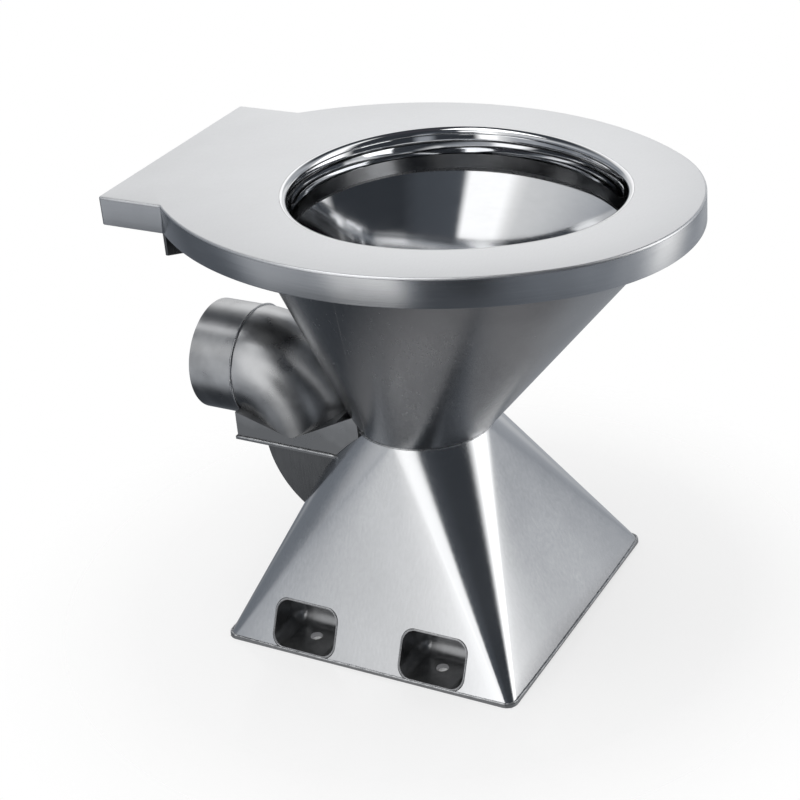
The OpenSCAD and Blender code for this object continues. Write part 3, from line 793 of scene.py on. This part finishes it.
def add_floor():
    """A pale floor under the object that fades out into the white room further off."""
    me = bpy.data.meshes.new("floor")
    me.from_pydata([(-1, -1, 0), (1, -1, 0), (1, 1, 0), (-1, 1, 0)], [], [(0, 1, 2, 3)])
    ob = bpy.data.objects.new("floor", me)
    scene.collection.objects.link(ob)
    mat = bpy.data.materials.new("floor_white")
    mat.use_nodes = True
    n = Nodes(mat.node_tree)
    bsdf = mat.node_tree.nodes["Principled BSDF"]
    out = mat.node_tree.nodes["Material Output"]
    bsdf.inputs["Base Color"].default_value = (0.96, 0.96, 0.96, 1)
    bsdf.inputs["Roughness"].default_value = 0.12
    bsdf.inputs["IOR"].default_value = 1.45
    place = n.add("ShaderNodeTexCoord").outputs["Object"]
    far = n.add("ShaderNodeVectorMath", {"operation": "LENGTH"}, _0=place)
    path = n.add("ShaderNodeLightPath").outputs
    near = n.math("SUBTRACT", far.outputs["Value"], n.math("MULTIPLY", path["Is Camera Ray"], FADE_LATER))
    fade = n.range(near, *FLOOR_FADE, 0, 1)
    clear = n.add("ShaderNodeBsdfTransparent").outputs[0]
    white = n.add("ShaderNodeEmission").outputs[0]
    d = n.add("ShaderNodeSeparateXYZ", None, Vector=place).outputs
    side = n.math("MAXIMUM", n.math("ABSOLUTE", d[0]), n.math("ABSOLUTE", d[1]))
    out_of_foot = n.math("GREATER_THAN", side, UNDER_FOOT)
    lift = n.math("MULTIPLY", n.math("MULTIPLY", path["Is Camera Ray"], out_of_foot), FLOOR_LIFT)
    body = n.add("ShaderNodeMixShader", None, _0=lift, _1=bsdf.outputs[0], _2=white).outputs[0]
    glow = n.add("ShaderNodeEmission", None, Color=FLOOR_GLOW).outputs[0]
    body = n.add("ShaderNodeMixShader", None, _0=path["Is Glossy Ray"], _1=body, _2=glow).outputs[0]
    both = n.add("ShaderNodeMixShader", None, _0=fade, _1=body, _2=clear).outputs[0]
    n.tree.links.new(both, out.inputs[0])
    me.materials.append(mat)


def add_world():
    """White all round for the camera; soft light from above; dark flags and bright windows in reflections."""
    w = bpy.data.worlds.new("studio")
    w.use_nodes = True
    scene.world = w
    n = Nodes(w.node_tree)
    bg = w.node_tree.nodes["Background"]
    d = n.add("ShaderNodeSeparateXYZ", None, Vector=n.add("ShaderNodeTexCoord").outputs["Generated"]).outputs
    az = n.math("DIVIDE", n.math("ARCTAN2", d[1], d[0]), 2 * math.pi)
    az = n.math("FRACT", n.math("ADD", az, 1.0))
    el = n.math("DIVIDE", n.math("ARCSINE", d[2]), math.pi / 2)

    def around(stops):
        """One band of the studio: tones at compass angles in degrees."""
        return n.ramp(az, [(deg / 360, cool(v)) for deg, v in stops])

    low = around([(0, 0.44), (12, 0.44), (30, 0.34), (55, 0.20), (80, 0.10), (104, 0.10), (109, 0.17),
                  (114, 0.30), (120, 0.46), (135, 0.43), (149, 0.37), (155, 0.76), (159, 0.70), (167, 0.78),
                  (176, 0.92),
                  (181, 0.25), (186, 0.06), (206, 0.02), (214, 0.09), (225, 0.18), (245, 0.25), (262, 0.25),
                  (270, 0.34), (286, 0.38), (294, 0.60), (303, 1.0), (314, 0.90), (323, 0.70), (330, 0.40),
                  (342, 0.31), (360, 0.44)])
    mid = around([(0, 0.80), (30, 0.90), (52, 0.70), (75, 0.20), (122, 0.20), (136, 0.38), (146, 0.42),
                  (150, 0.52), (154, 0.78), (158, 1.0), (161, 1.5), (172, 1.5), (178, 0.04), (206, 0.04),
                  (212, 0.35), (219, 0.35), (225, 0.04), (272, 0.04), (279, 1.0), (286, 1.9), (306, 1.9),
                  (310, 1.3), (314, 1.0), (317, 0.60), (320, 0.44), (325, 0.34), (346, 0.42), (360, 0.80)])
    upper = around([(0, 0.45), (12, 0.60), (18, 1.28), (32, 1.23), (40, 1.02), (52, 0.85), (62, 0.30),
                    (92, 0.40), (106, 0.50), (134, 0.70), (150, 0.78), (156, 0.95), (163, 1.35), (186, 1.35),
                    (190, 0.09), (215, 0.07), (225, 0.04), (272, 0.04), (280, 1.0), (287, 1.8), (306, 1.8),
                    (314, 0.62), (325, 0.50), (340, 0.45), (360, 0.45)])
    high = around([(0, 0.05), (128, 0.06), (136, 0.30), (146, 0.8), (162, 0.9), (176, 0.6), (186, 0.04),
                   (280, 0.04), (288, 1.2), (312, 1.2), (320, 0.30), (340, 0.05), (360, 0.05)])
    deep = around([(0, 0.40), (30, 0.28), (60, 0.10), (80, 0.07), (112, 0.07), (130, 0.04), (150, 0.06),
                   (200, 0.08), (260, 0.20), (330, 0.42), (360, 0.40)])
    down = n.mix(n.range(el, -0.80, -0.70, 0, 1), (0.15, 0.15, 0.16, 1),
                 n.mix(n.range(el, -0.50, -0.37, 0, 1), deep, low))
    top = n.mix(n.range(el, 0.70, 0.80, 0, 1), high, (0.05, 0.05, 0.06, 1))
    up = n.mix(n.range(el, 0.17, 0.22, 0, 1), mid, n.mix(n.range(el, 0.36, 0.50, 0, 1), upper, top))
    pattern = n.mix(n.range(el, -0.14, -0.06, 0, 1), down, up)
    soft = n.ramp(n.range(el, 0.0, 1.0, 0, 1), [(0, 0.30), (0.25, 0.35), (0.6, 1.15), (1, 1.3)])
    path = n.add("ShaderNodeLightPath").outputs
    seen = n.math("MAXIMUM", path["Is Camera Ray"], path["Is Transmission Ray"])
    col = n.mix(seen, n.mix(path["Is Glossy Ray"], soft, pattern), (1, 1, 1, 1))
    n.tree.links.new(col, bg.inputs[0])


def add_lamp(name, place, aim, size, energy):
    """A square lamp that looks at a point."""
    data = bpy.data.lights.new(name, "AREA")
    data.shape = "SQUARE"
    data.size = size
    data.energy = energy
    ob = bpy.data.objects.new(name, data)
    ob.location = place
    ob.rotation_euler = (Vector(aim) - ob.location).to_track_quat("-Z", "Y").to_euler()
    scene.collection.objects.link(ob)


add_floor()
add_world()
add_lamp("key", (-0.5, 0.6, 2.2), (0, 0, 0.2), 1.2, 10)
scene.view_settings.view_transform = "Standard"
